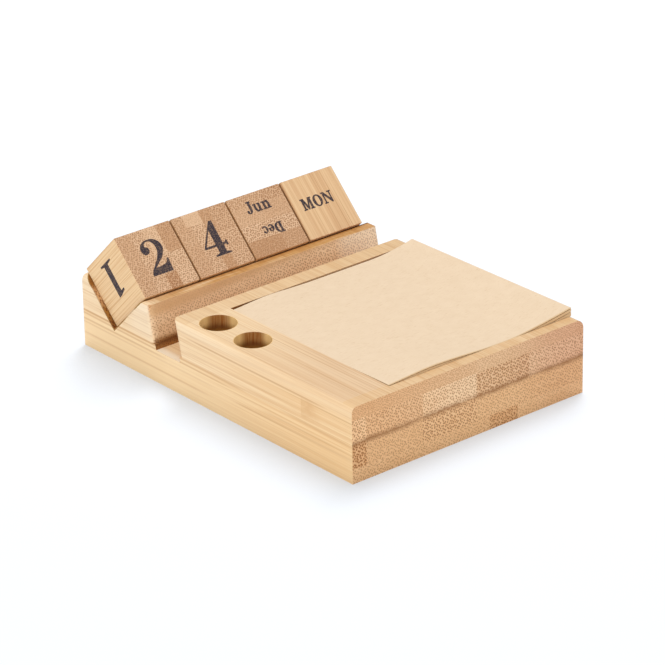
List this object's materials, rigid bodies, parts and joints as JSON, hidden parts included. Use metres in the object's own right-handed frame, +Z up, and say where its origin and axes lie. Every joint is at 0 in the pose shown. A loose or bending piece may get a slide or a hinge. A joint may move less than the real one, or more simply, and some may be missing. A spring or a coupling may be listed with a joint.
{
  "type": "desk calendar",
  "caption": "Laminated bamboo desk calendar: a row of loose printed cubes in a groove, a leaning phone slot, pen holes and an open tray with a pad of notes.",
  "frame": {"origin": "middle of the underside, on the surface that the block stands on", "axes": "+X along the row of cubes from the tens cube to the weekday cube, +Y from the front edge to the rear rail, +Z up"},
  "size_m": [0.0946, 0.1334, 0.042],
  "materials": {
    "bamboo_board": "sanded bamboo, satin",
    "bamboo_cube": "sanded bamboo end grain, satin",
    "kraft_paper": "matt kraft paper"
  },
  "bodies": {
    "block": {"base_board": "bamboo_board", "front_board": "bamboo_board", "front_rail": "bamboo_board", "rear_rail": "bamboo_board"},
    "tens": {"tens_cube": "bamboo_cube"},
    "units": {"units_cube": "bamboo_cube"},
    "month": {"month_cube": "bamboo_cube"},
    "weekday": {"weekday_cube": "bamboo_cube"},
    "pad": {"note_pad": "kraft_paper"},
    "lower_sheets": {"lower_note_sheets": "kraft_paper"},
    "middle_sheets": {"middle_note_sheets": "kraft_paper"},
    "top_sheet": {"top_note_sheet": "kraft_paper"}
  },
  "joints": [
    {"name": "tens_lift", "type": "slide", "parent": "block", "child": "tens", "axis": [0, 0, 1], "range_m": [0, 0.04]},
    {"name": "units_lift", "type": "slide", "parent": "block", "child": "units", "axis": [0, 0, 1], "range_m": [0, 0.04]},
    {"name": "month_lift", "type": "slide", "parent": "block", "child": "month", "axis": [0, 0, 1], "range_m": [0, 0.04]},
    {"name": "weekday_lift", "type": "slide", "parent": "block", "child": "weekday", "axis": [0, 0, 1], "range_m": [0, 0.04]},
    {"name": "pad_lift", "type": "slide", "parent": "block", "child": "pad", "axis": [0, 0, 1], "range_m": [0, 0.03]},
    {"name": "lower_sheets_lift", "type": "slide", "parent": "pad", "child": "lower_sheets", "axis": [0, 0, 1], "range_m": [0, 0.03]},
    {"name": "middle_sheets_lift", "type": "slide", "parent": "lower_sheets", "child": "middle_sheets", "axis": [0, 0, 1], "range_m": [0, 0.03]},
    {"name": "top_sheet_lift", "type": "slide", "parent": "middle_sheets", "child": "top_sheet", "axis": [0, 0, 1], "range_m": [0, 0.03]}
  ]
}
